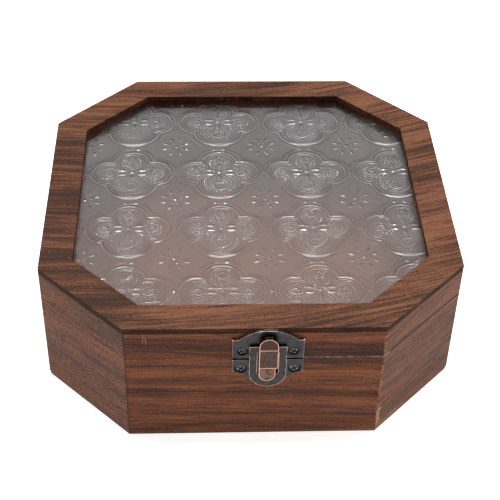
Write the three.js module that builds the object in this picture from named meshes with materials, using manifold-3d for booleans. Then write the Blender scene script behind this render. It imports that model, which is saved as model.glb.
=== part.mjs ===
// A square walnut box with cut corners, a hinged lid and a patterned glass pane.
// Millimetres, +Z up. The origin is the centre of the underside, and the latch faces -Y.

import * as THREE from 'three';
import { mergeVertices } from 'three/addons/utils/BufferGeometryUtils.js';
import Module from 'manifold-3d';

const wasm = await Module();
wasm.setup();

// Driving dimensions of the wooden case
const SIDE = 200;
const CORNER_CUT = 41;
const HEIGHT = 70;
const LID_HEIGHT = 18;
const WALL = 9;
const BORDER = 15.7;
const TOP_BOARD = 3;
const BOTTOM_BOARD = 2;
const BOTTOM_INSET = 0.4;
const MITRE_GAP = 0.16;
const SEAM_GAP = 0.3;
const GLUE_GAP = 0.1;

// Glass pane, held in a rabbet under the top board
const RABBET = 4;
const GLASS_THICKNESS = 2.4;
const GLASS_EDGE_GAP = 0.4;
const TOP_BOARD_TO_GLASS = 0.8;
const PATTERN_PITCH = 45.3;
const PATTERN_X = -14;
const PATTERN_Y = 19.7;
const PATTERN_RINGS = 2;
const RIB_SHIFT_Y = -1;
const RIB_WIDTH = 2.8;
const RIB_HEIGHT = 0.55;
const RIB_STEPS = 6;
const LOBE_TALL = { reach: 9, radius: 10.3 };
const LOBE_WIDE = { reach: 10.7, radius: 9.3 };
const BOSS_RADIUS = 1.2;
const PETAL = { near: 1.5, far: 5.6, width: 2.2 };
const FLORET = { tip: 7, valley: 3.2, points: 8 };
const MOTIF_HEIGHT = 0.45;
const RELIEF_SINK = 0.2;

// Latch on the front, in its own frame: x right, y up from the lid's top, z out of the wood
const LATCH_X = 5.8;
const PLATE_THICKNESS = 1.5;
const PLATE_ROUND = 0.6;
const UPPER_PLATE = { halfWidth: 16.4, bottom: -17.5, ear: -6, earWidth: 2.6, arch: -0.4, shoulder: -6.3 };
const LOWER_PLATE = { halfWidth: 16.3, top: -18.4, corner: -26.4, footWidth: 3.7, toe: -26.9, tip: -32.6 };
const UPPER_SCREW = { x: 11.5, y: -13, recess: 2.3, head: 2 };
const LOWER_SCREW = { x: 12.2, y: -24, recess: 2.6, head: 2.2 };
const RECESS_DEPTH = 1;
const PLATE_BORE = 1;
const LATCH_REACH = 40;

const HASP = { halfWidth: 8.4, top: -9.1, bottom: -34.4, back: 1.9, thickness: 0.9 };
const HASP_SLOT = { halfWidth: 4.9, top: -12.5, bottom: -26.8, round: 1.8 };

const THUMB = {
  x: 0.2, halfWidth: 4.3, thickness: 1.1, standOff: 3.5, tip: -3.5, drop: 0.7, crease: -9.7, foot: -20.9,
};
const THUMB_LAP = 2;
const LOBE = { x: -0.3, halfWidth: 3.7, bottom: -29.6, back: 3.1, thickness: 0.8 };
const PIVOT = { y: -4, z: 2.2, pin: 0.28, bore: 0.38, knuckle: 0.6, half: 1.3, web: 0.4 };
const LUG = { gap: 0.15, width: 0.65, radius: 0.5 };
const RIVET = { y: -10.8, pad: 1.6, shank: 0.9, bore: 1, gap: 0.05 };

// Butt hinges on the back, in their own frame: x along the pin, y up, z out of the wood
const HINGE_X = 38;
const HINGE_LENGTH = 22;
const HINGE_LEAF = 14;
const LEAF_THICKNESS = 1;
const LEAF_GAP = 0.05;
const KNUCKLE_RADIUS = 1.8;
const KNUCKLE_GAP = 0.3;
const KNUCKLE_MIDDLE = 7.8;
const HINGE_AXIS_OUT = 2.05;
const HINGE_BORE = 0.85;
const HINGE_PIN = 0.7;
const HINGE_SCREW = { x: 6.5, y: 9, head: 1.9 };

// Wood screws
const SCREW_SHANK = 0.8;
const SCREW_LENGTH = 7;
const SCREW_POINT = 1.5;
const SCREW_SIDES = 10;
const SCREW_HEAD_HEIGHT = 0.85;
const SCREW_HEAD_RIM = 0.35;
const SCREW_CROWN = { across: 0.75, up: 0.7 };
const CROSS_SLOT = { length: 0.55, width: 0.14, floor: 0.3 };
const PILOT_BORE = 0.95;
const PILOT_DEPTH = 7.4;
const SCREW_SEAT_GAP = 0.05;

// Worked-out heights and places
const HALF = SIDE / 2;
const SEAM_Z = HEIGHT - LID_HEIGHT;
const LID_BOTTOM = SEAM_Z + SEAM_GAP;
const HINGE_Z = SEAM_Z + SEAM_GAP / 2;
const TOP_BOARD_Z = HEIGHT - TOP_BOARD;
const LID_WALL_TOP = TOP_BOARD_Z - GLUE_GAP;
const GLASS_TOP = TOP_BOARD_Z - TOP_BOARD_TO_GLASS;
const GLASS_BOTTOM = GLASS_TOP - GLASS_THICKNESS;
const RABBET_Z = GLASS_BOTTOM - GLUE_GAP;

// Straight pieces in a quarter turn of a latch outline, and sides of a large and a small rod
const QUARTER_STEPS = 8;
const ROD_SIDES = 12;
const SMALL_SIDES = 8;

// Finishes
const walnut = new THREE.MeshStandardMaterial({ color: 0x6a3f2b, roughness: 0.62, metalness: 0 });
const walnutGrey = new THREE.MeshStandardMaterial({ color: 0x6c5046, roughness: 0.66, metalness: 0 });
const glass = new THREE.MeshStandardMaterial({
  color: 0xeef2f2,
  roughness: 0.05,
  metalness: 0,
  transparent: true,
  opacity: 0.3,
});
const gunmetal = new THREE.MeshStandardMaterial({ color: 0x4a4548, roughness: 0.4, metalness: 1 });
const copper = new THREE.MeshStandardMaterial({ color: 0x8f6355, roughness: 0.38, metalness: 1 });
const blackSteel = new THREE.MeshStandardMaterial({ color: 0x2c2d2c, roughness: 0.45, metalness: 1 });

// Solids and booleans
function toSolid(geometry) {
  const plain = geometry.index ? geometry.toNonIndexed() : geometry.clone();
  plain.deleteAttribute('normal');
  plain.deleteAttribute('uv');
  const merged = mergeVertices(plain, 1e-5);
  const source = merged.index.array;
  const triangles = [];
  for (let i = 0; i < source.length; i += 3) {
    const [a, b, c] = [source[i], source[i + 1], source[i + 2]];
    if (a !== b && b !== c && c !== a) {
      triangles.push(a, b, c);
    }
  }
  return new wasm.Manifold(new wasm.Mesh({
    numProp: 3,
    vertProperties: new Float32Array(merged.attributes.position.array),
    triVerts: new Uint32Array(triangles),
  }));
}

function toGeometry(solid) {
  const mesh = solid.getMesh();
  const geometry = new THREE.BufferGeometry();
  geometry.setAttribute('position', new THREE.BufferAttribute(new Float32Array(mesh.vertProperties), 3));
  geometry.setIndex(new THREE.BufferAttribute(new Uint32Array(mesh.triVerts), 1));
  geometry.computeVertexNormals();
  return geometry;
}

function union(solids) {
  return solids.reduce((sum, solid) => sum.add(solid));
}

function cut(solid, tools) {
  return tools.reduce((rest, tool) => rest.subtract(tool), solid);
}

function piece(name, solid, material, parent) {
  const mesh = new THREE.Mesh(toGeometry(solid), material);
  mesh.name = name;
  parent.add(mesh);
  return mesh;
}

// Simple solids
function polygon(points) {
  return new THREE.Shape(points.map(([x, y]) => new THREE.Vector2(x, y)));
}

function arc(x, y, radius, from, to, steps) {
  return Array.from({ length: steps + 1 }, (unused, i) => {
    const angle = from + (to - from) * i / steps;
    return [x + radius * Math.cos(angle), y + radius * Math.sin(angle)];
  });
}

function prism(shape, low, high) {
  const geometry = new THREE.ExtrudeGeometry(shape, { depth: high - low, bevelEnabled: false });
  return toSolid(geometry.translate(0, 0, low));
}

function block(low, high) {
  const size = high.map((value, axis) => value - low[axis]);
  const centre = high.map((value, axis) => (value + low[axis]) / 2);
  return toSolid(new THREE.BoxGeometry(...size).translate(...centre));
}

function rodAlongX(radius, from, to, y, z, sides = ROD_SIDES) {
  const geometry = new THREE.CylinderGeometry(radius, radius, to - from, sides);
  return toSolid(geometry.rotateZ(Math.PI / 2).translate((from + to) / 2, y, z));
}

function rodAlongZ(radius, from, to, x, y, sides = ROD_SIDES) {
  const geometry = new THREE.CylinderGeometry(radius, radius, to - from, sides);
  return toSolid(geometry.rotateX(Math.PI / 2).translate(x, y, (from + to) / 2));
}

// Plan of the case: a square with cut corners, set in by a distance on every side
function planPoints(inset) {
  const half = HALF - inset;
  const flat = half - (CORNER_CUT - inset * (2 - Math.SQRT2));
  return [
    [-flat, -half], [flat, -half], [half, -flat], [half, flat],
    [flat, half], [-flat, half], [-half, flat], [-half, -flat],
  ];
}

const SIDE_NAMES = [
  'wall_front', 'corner_front_right', 'wall_right', 'corner_back_right',
  'wall_back', 'corner_back_left', 'wall_left', 'corner_front_left',
];

// One mitred board between two insets, a hairline short of its neighbours at both ends
function board(index, outerInset, innerInset, low, high) {
  const outer = planPoints(outerInset);
  const inner = planPoints(innerInset);
  const next = (index + 1) % outer.length;
  const [dx, dy] = [outer[next][0] - outer[index][0], outer[next][1] - outer[index][1]];
  const length = Math.hypot(dx, dy);
  const slip = [dx / length * MITRE_GAP / 2, dy / length * MITRE_GAP / 2];
  const forward = ([x, y]) => [x + slip[0], y + slip[1]];
  const backward = ([x, y]) => [x - slip[0], y - slip[1]];
  return prism(polygon([
    forward(outer[index]), backward(outer[next]), backward(inner[next]), forward(inner[index]),
  ]), low, high);
}

// A bore for a screw in the front (side -1) or back (side 1) wall
function pilot(x, z, side) {
  const geometry = new THREE.CylinderGeometry(PILOT_BORE, PILOT_BORE, 2 * PILOT_DEPTH, SMALL_SIDES);
  return toSolid(geometry.translate(x, side * HALF, z));
}

function pilotsFor(name, inLid) {
  if (name === 'wall_front') {
    const screw = inLid ? UPPER_SCREW : LOWER_SCREW;
    return [-1, 1].map((hand) => pilot(LATCH_X + hand * screw.x, HEIGHT + screw.y, -1));
  }
  if (name === 'wall_back') {
    const z = HINGE_Z + (inLid ? HINGE_SCREW.y : -HINGE_SCREW.y);
    return [-1, 1].flatMap((hinge) => [-1, 1].map(
      (hand) => pilot(hinge * HINGE_X + hand * HINGE_SCREW.x, z, 1)));
  }
  return [];
}

function addCase(parent) {
  SIDE_NAMES.forEach((name, index) => {
    const wall = board(index, 0, WALL, BOTTOM_BOARD + GLUE_GAP, SEAM_Z);
    piece(`box_${name}`, cut(wall, pilotsFor(name, false)), index % 2 ? walnutGrey : walnut, parent);
  });
  piece('box_bottom_board', prism(polygon(planPoints(BOTTOM_INSET)), 0, BOTTOM_BOARD), walnut, parent);
}

function addLidFrame(parent) {
  SIDE_NAMES.forEach((name, index) => {
    const lower = board(index, 0, WALL, LID_BOTTOM, RABBET_Z);
    const upper = board(index, 0, WALL - RABBET, LID_BOTTOM, LID_WALL_TOP);
    const wall = cut(union([lower, upper]), pilotsFor(name, true));
    piece(`lid_${name}`, wall, index % 2 ? walnutGrey : walnut, parent);
  });
  const top = polygon(planPoints(0));
  top.holes.push(polygon(planPoints(BORDER).reverse()));
  piece('lid_top_board', prism(top, TOP_BOARD_Z, HEIGHT), walnut, parent);
}

// Patterned glass: four-lobed ribs on a square lattice, with a flower in each and florets between
function lobeOutline(widen) {
  const tall = LOBE_TALL.radius + widen;
  const wide = LOBE_WIDE.radius + widen;
  const span = Math.hypot(LOBE_TALL.reach, LOBE_WIDE.reach);
  const fromTall = Math.acos((tall * tall + span * span - wide * wide) / (2 * tall * span));
  const fromWide = Math.acos((wide * wide + span * span - tall * tall) / (2 * wide * span));
  const slope = Math.atan2(LOBE_TALL.reach, LOBE_WIDE.reach);
  const tallSweep = Math.PI / 2 + slope - fromTall;
  const wideSweep = Math.PI - slope - fromWide;
  const lobes = [
    { x: LOBE_WIDE.reach, y: 0, radius: wide, sweep: wideSweep, heading: 0 },
    { x: 0, y: LOBE_TALL.reach, radius: tall, sweep: tallSweep, heading: Math.PI / 2 },
    { x: -LOBE_WIDE.reach, y: 0, radius: wide, sweep: wideSweep, heading: Math.PI },
    { x: 0, y: -LOBE_TALL.reach, radius: tall, sweep: tallSweep, heading: 1.5 * Math.PI },
  ];
  return lobes.flatMap(({ x, y, radius, sweep, heading }) => {
    const points = [];
    for (let i = 0; i < RIB_STEPS; i += 1) {
      const angle = heading - sweep + 2 * sweep * i / RIB_STEPS;
      points.push([x + radius * Math.cos(angle), y + radius * Math.sin(angle)]);
    }
    return points;
  });
}

function ribSolid() {
  const outer = lobeOutline(RIB_WIDTH / 2);
  const crest = lobeOutline(0);
  const inner = lobeOutline(-RIB_WIDTH / 2);
  const count = crest.length;
  const base = GLASS_TOP - RELIEF_SINK;
  const positions = [];
  outer.forEach(([x, y]) => positions.push(x, y, base));
  crest.forEach(([x, y]) => positions.push(x, y, GLASS_TOP + RIB_HEIGHT));
  inner.forEach(([x, y]) => positions.push(x, y, base));
  const index = [];
  for (let i = 0; i < count; i += 1) {
    const j = (i + 1) % count;
    for (const [from, to] of [[0, 1], [1, 2], [2, 0]]) {
      index.push(from * count + i, from * count + j, to * count + j);
      index.push(from * count + i, to * count + j, to * count + i);
    }
  }
  const geometry = new THREE.BufferGeometry();
  geometry.setAttribute('position', new THREE.BufferAttribute(new Float32Array(positions), 3));
  geometry.setIndex(index);
  return toSolid(geometry);
}

// A low pyramid over a flat outline round the middle point
function peak(points, middle) {
  const count = points.length;
  const base = GLASS_TOP - RELIEF_SINK;
  const positions = points.flatMap(([x, y]) => [x, y, base]);
  positions.push(middle[0], middle[1], GLASS_TOP + MOTIF_HEIGHT);
  positions.push(middle[0], middle[1], base);
  const index = [];
  for (let i = 0; i < count; i += 1) {
    const j = (i + 1) % count;
    index.push(i, j, count);
    index.push(j, i, count + 1);
  }
  const geometry = new THREE.BufferGeometry();
  geometry.setAttribute('position', new THREE.BufferAttribute(new Float32Array(positions), 3));
  geometry.setIndex(index);
  return toSolid(geometry);
}

function ringPoints(count, radiusAt) {
  return Array.from({ length: count }, (unused, i) => {
    const angle = 2 * Math.PI * i / count;
    return [radiusAt(i) * Math.cos(angle), radiusAt(i) * Math.sin(angle)];
  });
}

function petal(heading) {
  const middle = (PETAL.near + PETAL.far) / 2;
  const turn = ([along, across]) => [
    along * Math.cos(heading) - across * Math.sin(heading),
    along * Math.sin(heading) + across * Math.cos(heading),
  ];
  const outline = [[PETAL.near, 0], [middle, -PETAL.width / 2], [PETAL.far, 0], [middle, PETAL.width / 2]];
  return peak(outline.map(turn), turn([middle, 0]));
}

function addGlass(parent) {
  const rib = ribSolid().translate([0, RIB_SHIFT_Y, 0]);
  const boss = peak(ringPoints(SMALL_SIDES, () => BOSS_RADIUS), [0, 0]);
  const petals = [1, 3, 5, 7].map((eighth) => petal(eighth * Math.PI / 4));
  const medallion = union([rib, boss, ...petals]);
  const floret = peak(ringPoints(2 * FLORET.points, (i) => (i % 2 ? FLORET.valley : FLORET.tip)), [0, 0]);
  const motifs = [];
  for (let column = -PATTERN_RINGS; column <= PATTERN_RINGS; column += 1) {
    for (let row = -PATTERN_RINGS; row <= PATTERN_RINGS; row += 1) {
      const x = PATTERN_X + column * PATTERN_PITCH;
      const y = PATTERN_Y + row * PATTERN_PITCH;
      motifs.push(medallion.translate([x, y, 0]));
      motifs.push(floret.translate([x + PATTERN_PITCH / 2, y + PATTERN_PITCH / 2, 0]));
    }
  }
  const opening = prism(polygon(planPoints(BORDER + GLASS_EDGE_GAP)), GLASS_BOTTOM, HEIGHT);
  const relief = union(motifs).intersect(opening);
  const slab = prism(polygon(planPoints(WALL - RABBET + GLASS_EDGE_GAP)), GLASS_BOTTOM, GLASS_TOP);
  piece('glass_pane', slab.add(relief), glass, parent);
}

// A cast plate with rounded front edges, its back flat on the wood
function castPlate(outline) {
  const round = PLATE_ROUND;
  const geometry = new THREE.ExtrudeGeometry(polygon(outline), {
    depth: PLATE_THICKNESS - round,
    bevelEnabled: true,
    bevelThickness: round,
    bevelSize: round,
    bevelOffset: -round,
    bevelSegments: 2,
  });
  const behind = block([-LATCH_REACH, -LATCH_REACH, -2 * round], [LATCH_REACH, LATCH_REACH, 0]);
  return toSolid(geometry).subtract(behind);
}

function screwBores(screw) {
  return [-1, 1].flatMap((hand) => {
    const x = hand * screw.x;
    const seat = PLATE_THICKNESS - RECESS_DEPTH;
    return [
      rodAlongZ(screw.recess, seat, 2 * PLATE_THICKNESS, x, screw.y, 2 * SMALL_SIDES),
      rodAlongZ(PLATE_BORE, -PLATE_THICKNESS, PLATE_THICKNESS, x, screw.y, SMALL_SIDES),
    ];
  });
}

// The upper plate carries the pin on which the thumb piece and hasp swing
function addUpperPlate(parent) {
  const { halfWidth, bottom, ear, earWidth, arch, shoulder } = UPPER_PLATE;
  const halfChord = halfWidth - earWidth;
  const rise = arch - shoulder;
  const radius = (halfChord * halfChord + rise * rise) / (2 * rise);
  const sweep = Math.asin(halfChord / radius);
  const quarter = Math.PI / 2;
  const plate = castPlate([
    [-halfWidth, bottom], [halfWidth, bottom], [halfWidth, ear],
    ...arc(0, arch - radius, radius, quarter - sweep, quarter + sweep, 2 * QUARTER_STEPS),
    [-halfWidth, ear],
  ]);
  const lugs = [-1, 1].map((hand) => {
    const near = THUMB.x + hand * (PIVOT.half + LUG.gap);
    const far = near + hand * LUG.width;
    const [low, high] = [Math.min(near, far), Math.max(near, far)];
    const foot = block(
      [low, PIVOT.y - LUG.radius, PLATE_THICKNESS - PLATE_ROUND],
      [high, PIVOT.y + LUG.radius, PIVOT.z]);
    return foot.add(rodAlongX(LUG.radius, low, high, PIVOT.y, PIVOT.z));
  });
  const reach = PIVOT.half + LUG.gap + LUG.width;
  const pin = rodAlongX(PIVOT.pin, THUMB.x - reach, THUMB.x + reach, PIVOT.y, PIVOT.z, SMALL_SIDES);
  const whole = cut(union([plate, ...lugs, pin]), screwBores(UPPER_SCREW));
  piece('latch_upper_plate', whole, gunmetal, parent);
}

function addLowerPlate(parent) {
  const { halfWidth, top, corner, toe, footWidth, tip } = LOWER_PLATE;
  const slant = halfWidth - footWidth;
  const right = [[slant + tip - toe, tip], [slant, toe], [halfWidth, corner], [halfWidth, top]];
  const left = right.map(([x, y]) => [-x, y]).reverse();
  const plate = castPlate([...left, ...right]);
  piece('latch_lower_plate', cut(plate, screwBores(LOWER_SCREW)), gunmetal, parent);
}

function addHasp(parent) {
  const { halfWidth, top, bottom, back, thickness } = HASP;
  const shape = polygon([
    ...arc(0, bottom + halfWidth, halfWidth, Math.PI, 2 * Math.PI, 2 * QUARTER_STEPS),
    [halfWidth, top], [-halfWidth, top],
  ]);
  const { halfWidth: wide, top: high, bottom: low, round } = HASP_SLOT;
  const corner = wide - round;
  shape.holes.push(polygon([
    [-wide, high], [wide, high],
    ...arc(corner, low + round, round, 0, -Math.PI / 2, QUARTER_STEPS / 2),
    ...arc(-corner, low + round, round, -Math.PI / 2, -Math.PI, QUARTER_STEPS / 2),
  ]));
  const sheet = prism(shape, back, back + thickness);
  const bore = rodAlongZ(RIVET.bore, 0, 2 * (back + thickness), THUMB.x, RIVET.y);
  piece('latch_hasp', cut(sheet, [bore]), gunmetal, parent);
}

// The thumb piece: a capsule bent at its crease, hung from the pin by its tip and riveted to the hasp
function addThumbPiece(parent) {
  const { x, halfWidth, thickness, standOff, tip, drop, crease, foot } = THUMB;
  const front = standOff + thickness;
  const profile = polygon([
    [tip, front - drop], [crease, front], [foot, front],
    [foot, standOff], [crease, standOff], [tip, standOff - drop],
  ]);
  const swept = new THREE.ExtrudeGeometry(profile, { depth: 2 * halfWidth, bevelEnabled: false });
  const basis = new THREE.Matrix4().makeBasis(
    new THREE.Vector3(0, 1, 0), new THREE.Vector3(0, 0, 1), new THREE.Vector3(1, 0, 0));
  const strip = toSolid(swept.applyMatrix4(basis).translate(x - halfWidth, 0, 0));
  const capsule = polygon([
    [x - halfWidth, foot], [x + halfWidth, foot],
    ...arc(x, tip - halfWidth, halfWidth, 0, Math.PI, 2 * QUARTER_STEPS),
  ]);
  const body = strip.intersect(prism(capsule, 0, 2 * front));
  const nose = polygon([
    [LOBE.x + LOBE.halfWidth, foot + THUMB_LAP], [LOBE.x - LOBE.halfWidth, foot + THUMB_LAP],
    ...arc(LOBE.x, LOBE.bottom + LOBE.halfWidth, LOBE.halfWidth, Math.PI, 2 * Math.PI, 2 * QUARTER_STEPS),
  ]);
  const lobe = prism(nose, LOBE.back, LOBE.back + LOBE.thickness);
  const middle = standOff + thickness / 2;
  const knuckle = rodAlongX(PIVOT.knuckle, x - PIVOT.half, x + PIVOT.half, PIVOT.y, PIVOT.z);
  const web = block(
    [x - PIVOT.half, PIVOT.y - PIVOT.web, PIVOT.z],
    [x + PIVOT.half, PIVOT.y + PIVOT.web, middle - drop]);
  const pad = rodAlongZ(RIVET.pad, HASP.back + HASP.thickness + RIVET.gap, middle, x, RIVET.y);
  const shank = rodAlongZ(RIVET.shank, HASP.back, middle, x, RIVET.y);
  const bore = rodAlongX(PIVOT.bore, x - 2 * PIVOT.half, x + 2 * PIVOT.half, PIVOT.y, PIVOT.z, SMALL_SIDES);
  const whole = cut(union([body, lobe, knuckle, web, pad, shank]), [bore]);
  piece('latch_thumb_piece', whole, copper, parent);
}

// A cross-slotted wood screw along z, its seat at z = 0
function woodScrew(head) {
  const crown = SCREW_HEAD_HEIGHT * SCREW_CROWN.up;
  const profile = [
    [0, -SCREW_LENGTH], [SCREW_SHANK, SCREW_POINT - SCREW_LENGTH], [SCREW_SHANK, 0], [head, 0],
    [head, SCREW_HEAD_RIM], [head * SCREW_CROWN.across, crown], [0, SCREW_HEAD_HEIGHT],
  ];
  const points = profile.map(([radius, height]) => new THREE.Vector2(radius, height));
  const body = toSolid(new THREE.LatheGeometry(points, SCREW_SIDES).rotateX(Math.PI / 2));
  const [long, short] = [head * CROSS_SLOT.length, head * CROSS_SLOT.width];
  const across = block([-long, -short, CROSS_SLOT.floor], [long, short, 2 * SCREW_HEAD_HEIGHT]);
  const upright = block([-short, -long, CROSS_SLOT.floor], [short, long, 2 * SCREW_HEAD_HEIGHT]);
  return cut(body, [across, upright]);
}

function addLatchScrews(parent) {
  for (const [level, screw] of [['upper', UPPER_SCREW], ['lower', LOWER_SCREW]]) {
    for (const [hand, side] of [[-1, 'left'], [1, 'right']]) {
      const mesh = piece(`latch_screw_${level}_${side}`, woodScrew(screw.head), blackSteel, parent);
      mesh.position.set(hand * screw.x, screw.y, PLATE_THICKNESS - RECESS_DEPTH + SCREW_SEAT_GAP);
    }
  }
}

function addLatch(parent) {
  const latch = new THREE.Group();
  latch.position.set(LATCH_X, -HALF, HEIGHT);
  latch.rotation.x = Math.PI / 2;
  parent.add(latch);
  addUpperPlate(latch);
  addLowerPlate(latch);
  addHasp(latch);
  addThumbPiece(latch);
  addLatchScrews(latch);
}

// One leaf of a butt hinge: direction 1 goes up on the lid, -1 goes down on the box
function hingeLeaf(direction, knuckles) {
  const half = HINGE_LENGTH / 2;
  const clear = KNUCKLE_RADIUS + KNUCKLE_GAP;
  const rows = [direction * clear, direction * HINGE_LEAF].sort((a, b) => a - b);
  const plate = block([-half, rows[0], LEAF_GAP], [half, rows[1], LEAF_GAP + LEAF_THICKNESS]);
  const bodies = knuckles.flatMap(([from, to]) => {
    const tab = [0, direction * (clear + LEAF_THICKNESS)].sort((a, b) => a - b);
    return [
      block([from, tab[0], LEAF_GAP], [to, tab[1], LEAF_GAP + LEAF_THICKNESS]),
      rodAlongX(KNUCKLE_RADIUS, from, to, 0, HINGE_AXIS_OUT),
    ];
  });
  const bores = [-1, 1].map((hand) => rodAlongZ(
    PLATE_BORE, -LEAF_THICKNESS, 2 * LEAF_THICKNESS,
    hand * HINGE_SCREW.x, direction * HINGE_SCREW.y, SMALL_SIDES));
  const eye = rodAlongX(HINGE_BORE, -half - 1, half + 1, 0, HINGE_AXIS_OUT);
  return cut(union([plate, ...bodies]), [eye, ...bores]);
}

function addHinge(parent, x, side) {
  const facing = new THREE.Group();
  facing.position.set(x, HALF, HINGE_Z);
  facing.rotation.z = Math.PI;
  parent.add(facing);
  const hinge = new THREE.Group();
  hinge.rotation.x = Math.PI / 2;
  facing.add(hinge);
  const half = HINGE_LENGTH / 2;
  const inner = KNUCKLE_MIDDLE / 2;
  const outer = inner + KNUCKLE_GAP;
  piece(`hinge_${side}_box_leaf`, hingeLeaf(-1, [[-half, -outer], [outer, half]]), blackSteel, hinge);
  piece(`hinge_${side}_lid_leaf`, hingeLeaf(1, [[-inner, inner]]), blackSteel, hinge);
  piece(`hinge_${side}_pin`, rodAlongX(HINGE_PIN, -half, half, 0, HINGE_AXIS_OUT), blackSteel, hinge);
  for (const [direction, level] of [[-1, 'box'], [1, 'lid']]) {
    for (const [hand, number] of [[-1, 1], [1, 2]]) {
      const name = `hinge_${side}_${level}_screw_${number}`;
      const mesh = piece(name, woodScrew(HINGE_SCREW.head), blackSteel, hinge);
      const seat = LEAF_GAP + LEAF_THICKNESS + SCREW_SEAT_GAP;
      mesh.position.set(hand * HINGE_SCREW.x, direction * HINGE_SCREW.y, seat);
    }
  }
}

const box = new THREE.Group();
addCase(box);
addLidFrame(box);
addGlass(box);
addLatch(box);
addHinge(box, -HINGE_X, 'left');
addHinge(box, HINGE_X, 'right');

export default box;
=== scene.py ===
"""A walnut box with cut corners, a patterned glass lid and a small bronze latch.

Everything is in metres in the part's own frame: the origin is the centre of the underside, +Z is up and
the latch faces -Y. Sizes below are in millimetres, and MM turns them into metres.
"""

import math

import bpy
import numpy as np
from mathutils import Matrix, Vector


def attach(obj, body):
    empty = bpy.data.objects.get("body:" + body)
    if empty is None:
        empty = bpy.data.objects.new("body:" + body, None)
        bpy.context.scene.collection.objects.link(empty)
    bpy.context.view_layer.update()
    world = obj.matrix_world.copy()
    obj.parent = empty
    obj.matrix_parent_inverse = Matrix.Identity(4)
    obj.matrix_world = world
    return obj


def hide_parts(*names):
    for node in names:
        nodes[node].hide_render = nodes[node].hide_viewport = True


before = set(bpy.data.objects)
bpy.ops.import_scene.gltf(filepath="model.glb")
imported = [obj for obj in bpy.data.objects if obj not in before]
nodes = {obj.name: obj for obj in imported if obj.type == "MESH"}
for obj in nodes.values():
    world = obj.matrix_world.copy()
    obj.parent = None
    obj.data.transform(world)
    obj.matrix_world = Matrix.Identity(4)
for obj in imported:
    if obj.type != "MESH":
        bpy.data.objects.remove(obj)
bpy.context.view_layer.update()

MM = 0.001

# Sizes of the case, as in the part
SIDE = 200
CORNER_CUT = 41
HEIGHT = 70
FRONT_HALF = SIDE / 2 - CORNER_CUT
CORNER_HALF = 29
GLASS_EDGE = 5.4
GLASS_TOP = 66.2
GLASS_BOTTOM = 63.8
LATCH_X = 5.8

# Camera of the photograph: a square frame of 500 pixels
PHOTO_SIZE = 500
FOCAL_PIXELS = 1219.55
SENSOR = 36
CAMERA_PLACE = (-0.0244, -0.4862, 0.4481)
CAMERA_YAW, CAMERA_PITCH, CAMERA_ROLL = -0.054, 0.861, 0.027


# Node helper

class Shade:
    """One material, and short calls that add nodes to it.

    An input given as a number is set, and one given as a socket is linked.
    """

    def __init__(self, name):
        self.material = bpy.data.materials.new(name)
        self.material.use_nodes = True
        self.tree = self.material.node_tree
        self.bsdf = next(n for n in self.tree.nodes if n.type == "BSDF_PRINCIPLED")
        self.output = next(n for n in self.tree.nodes if n.type == "OUTPUT_MATERIAL")

    def put(self, socket, value):
        if isinstance(value, bpy.types.NodeSocket):
            self.tree.links.new(value, socket)
        else:
            socket.default_value = value

    def node(self, kind, inputs=None, **settings):
        made = self.tree.nodes.new(kind)
        for key, value in settings.items():
            setattr(made, key, value)
        for key, value in (inputs or {}).items():
            self.put(made.inputs[key], value)
        return made

    def object_point(self):
        return self.node("ShaderNodeTexCoord").outputs["Object"]

    def object_normal(self):
        return self.node("ShaderNodeTexCoord").outputs["Normal"]

    def split(self, vector):
        return self.node("ShaderNodeSeparateXYZ", {0: vector}).outputs

    def join(self, x, y, z):
        return self.node("ShaderNodeCombineXYZ", {0: x, 1: y, 2: z}).outputs[0]

    def point(self):
        """The place on the part, in millimetres."""
        return self.scaled(self.object_point(), 1 / MM, 1 / MM, 1 / MM)

    def length(self, vector):
        return self.node("ShaderNodeVectorMath", {0: vector}, operation="LENGTH").outputs["Value"]

    def distance(self, vector, place):
        made = self.node("ShaderNodeVectorMath", {0: vector, 1: place}, operation="DISTANCE")
        return made.outputs["Value"]

    def times(self, a, b):
        return self.math("MULTIPLY", a, b)

    def off(self, value, place):
        """How far a value is from a place, either way."""
        return self.math("ABSOLUTE", self.math("SUBTRACT", value, place))

    def math(self, operation, a, b=0.0, c=0.0, clamp=False):
        made = self.node("ShaderNodeMath", {0: a, 1: b, 2: c}, operation=operation, use_clamp=clamp)
        return made.outputs[0]

    def noise(self, vector, scale=1.0, detail=2.0, roughness=0.5):
        made = self.node("ShaderNodeTexNoise", {
            "Vector": vector, "Scale": scale, "Detail": detail, "Roughness": roughness})
        return made.outputs["Fac"]

    def span(self, value, low, high, to_low=0.0, to_high=1.0, smooth=True):
        """value from low..high to to_low..to_high, clamped."""
        inputs = {0: value, 1: low, 2: high, 3: to_low, 4: to_high}
        made = self.node("ShaderNodeMapRange", inputs, clamp=True)
        if smooth:
            made.interpolation_type = "SMOOTHSTEP"
        return made.outputs[0]

    def ramp(self, factor, stops):
        made = self.node("ShaderNodeValToRGB", {0: factor})
        elements = made.color_ramp.elements
        while len(elements) < len(stops):
            elements.new(0.5)
        for element, (place, colour) in zip(elements, stops):
            element.position = place
            element.color = (*colour, 1) if len(colour) == 3 else colour
        return made.outputs[0]

    def mix(self, factor, a, b, blend="MIX"):
        made = self.node("ShaderNodeMix", data_type="RGBA", blend_type=blend)
        self.put(made.inputs[0], factor)
        for index, value in ((6, a), (7, b)):
            self.put(made.inputs[index], (*value, 1) if isinstance(value, tuple) else value)
        return made.outputs[2]

    def scaled(self, vector, x, y, z):
        return self.node("ShaderNodeVectorMath", {0: vector, 1: (x, y, z)}, operation="MULTIPLY").outputs[0]

    def bump(self, height, distance, strength=1.0):
        inputs = {"Height": height, "Distance": distance, "Strength": strength}
        return self.node("ShaderNodeBump", inputs).outputs[0]

    def finish(self, **inputs):
        for key, value in inputs.items():
            if isinstance(value, tuple) and len(value) == 3:
                value = (*value, 1)
            self.put(self.bsdf.inputs[key.replace("_", " ")], value)
        return self.material


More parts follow.
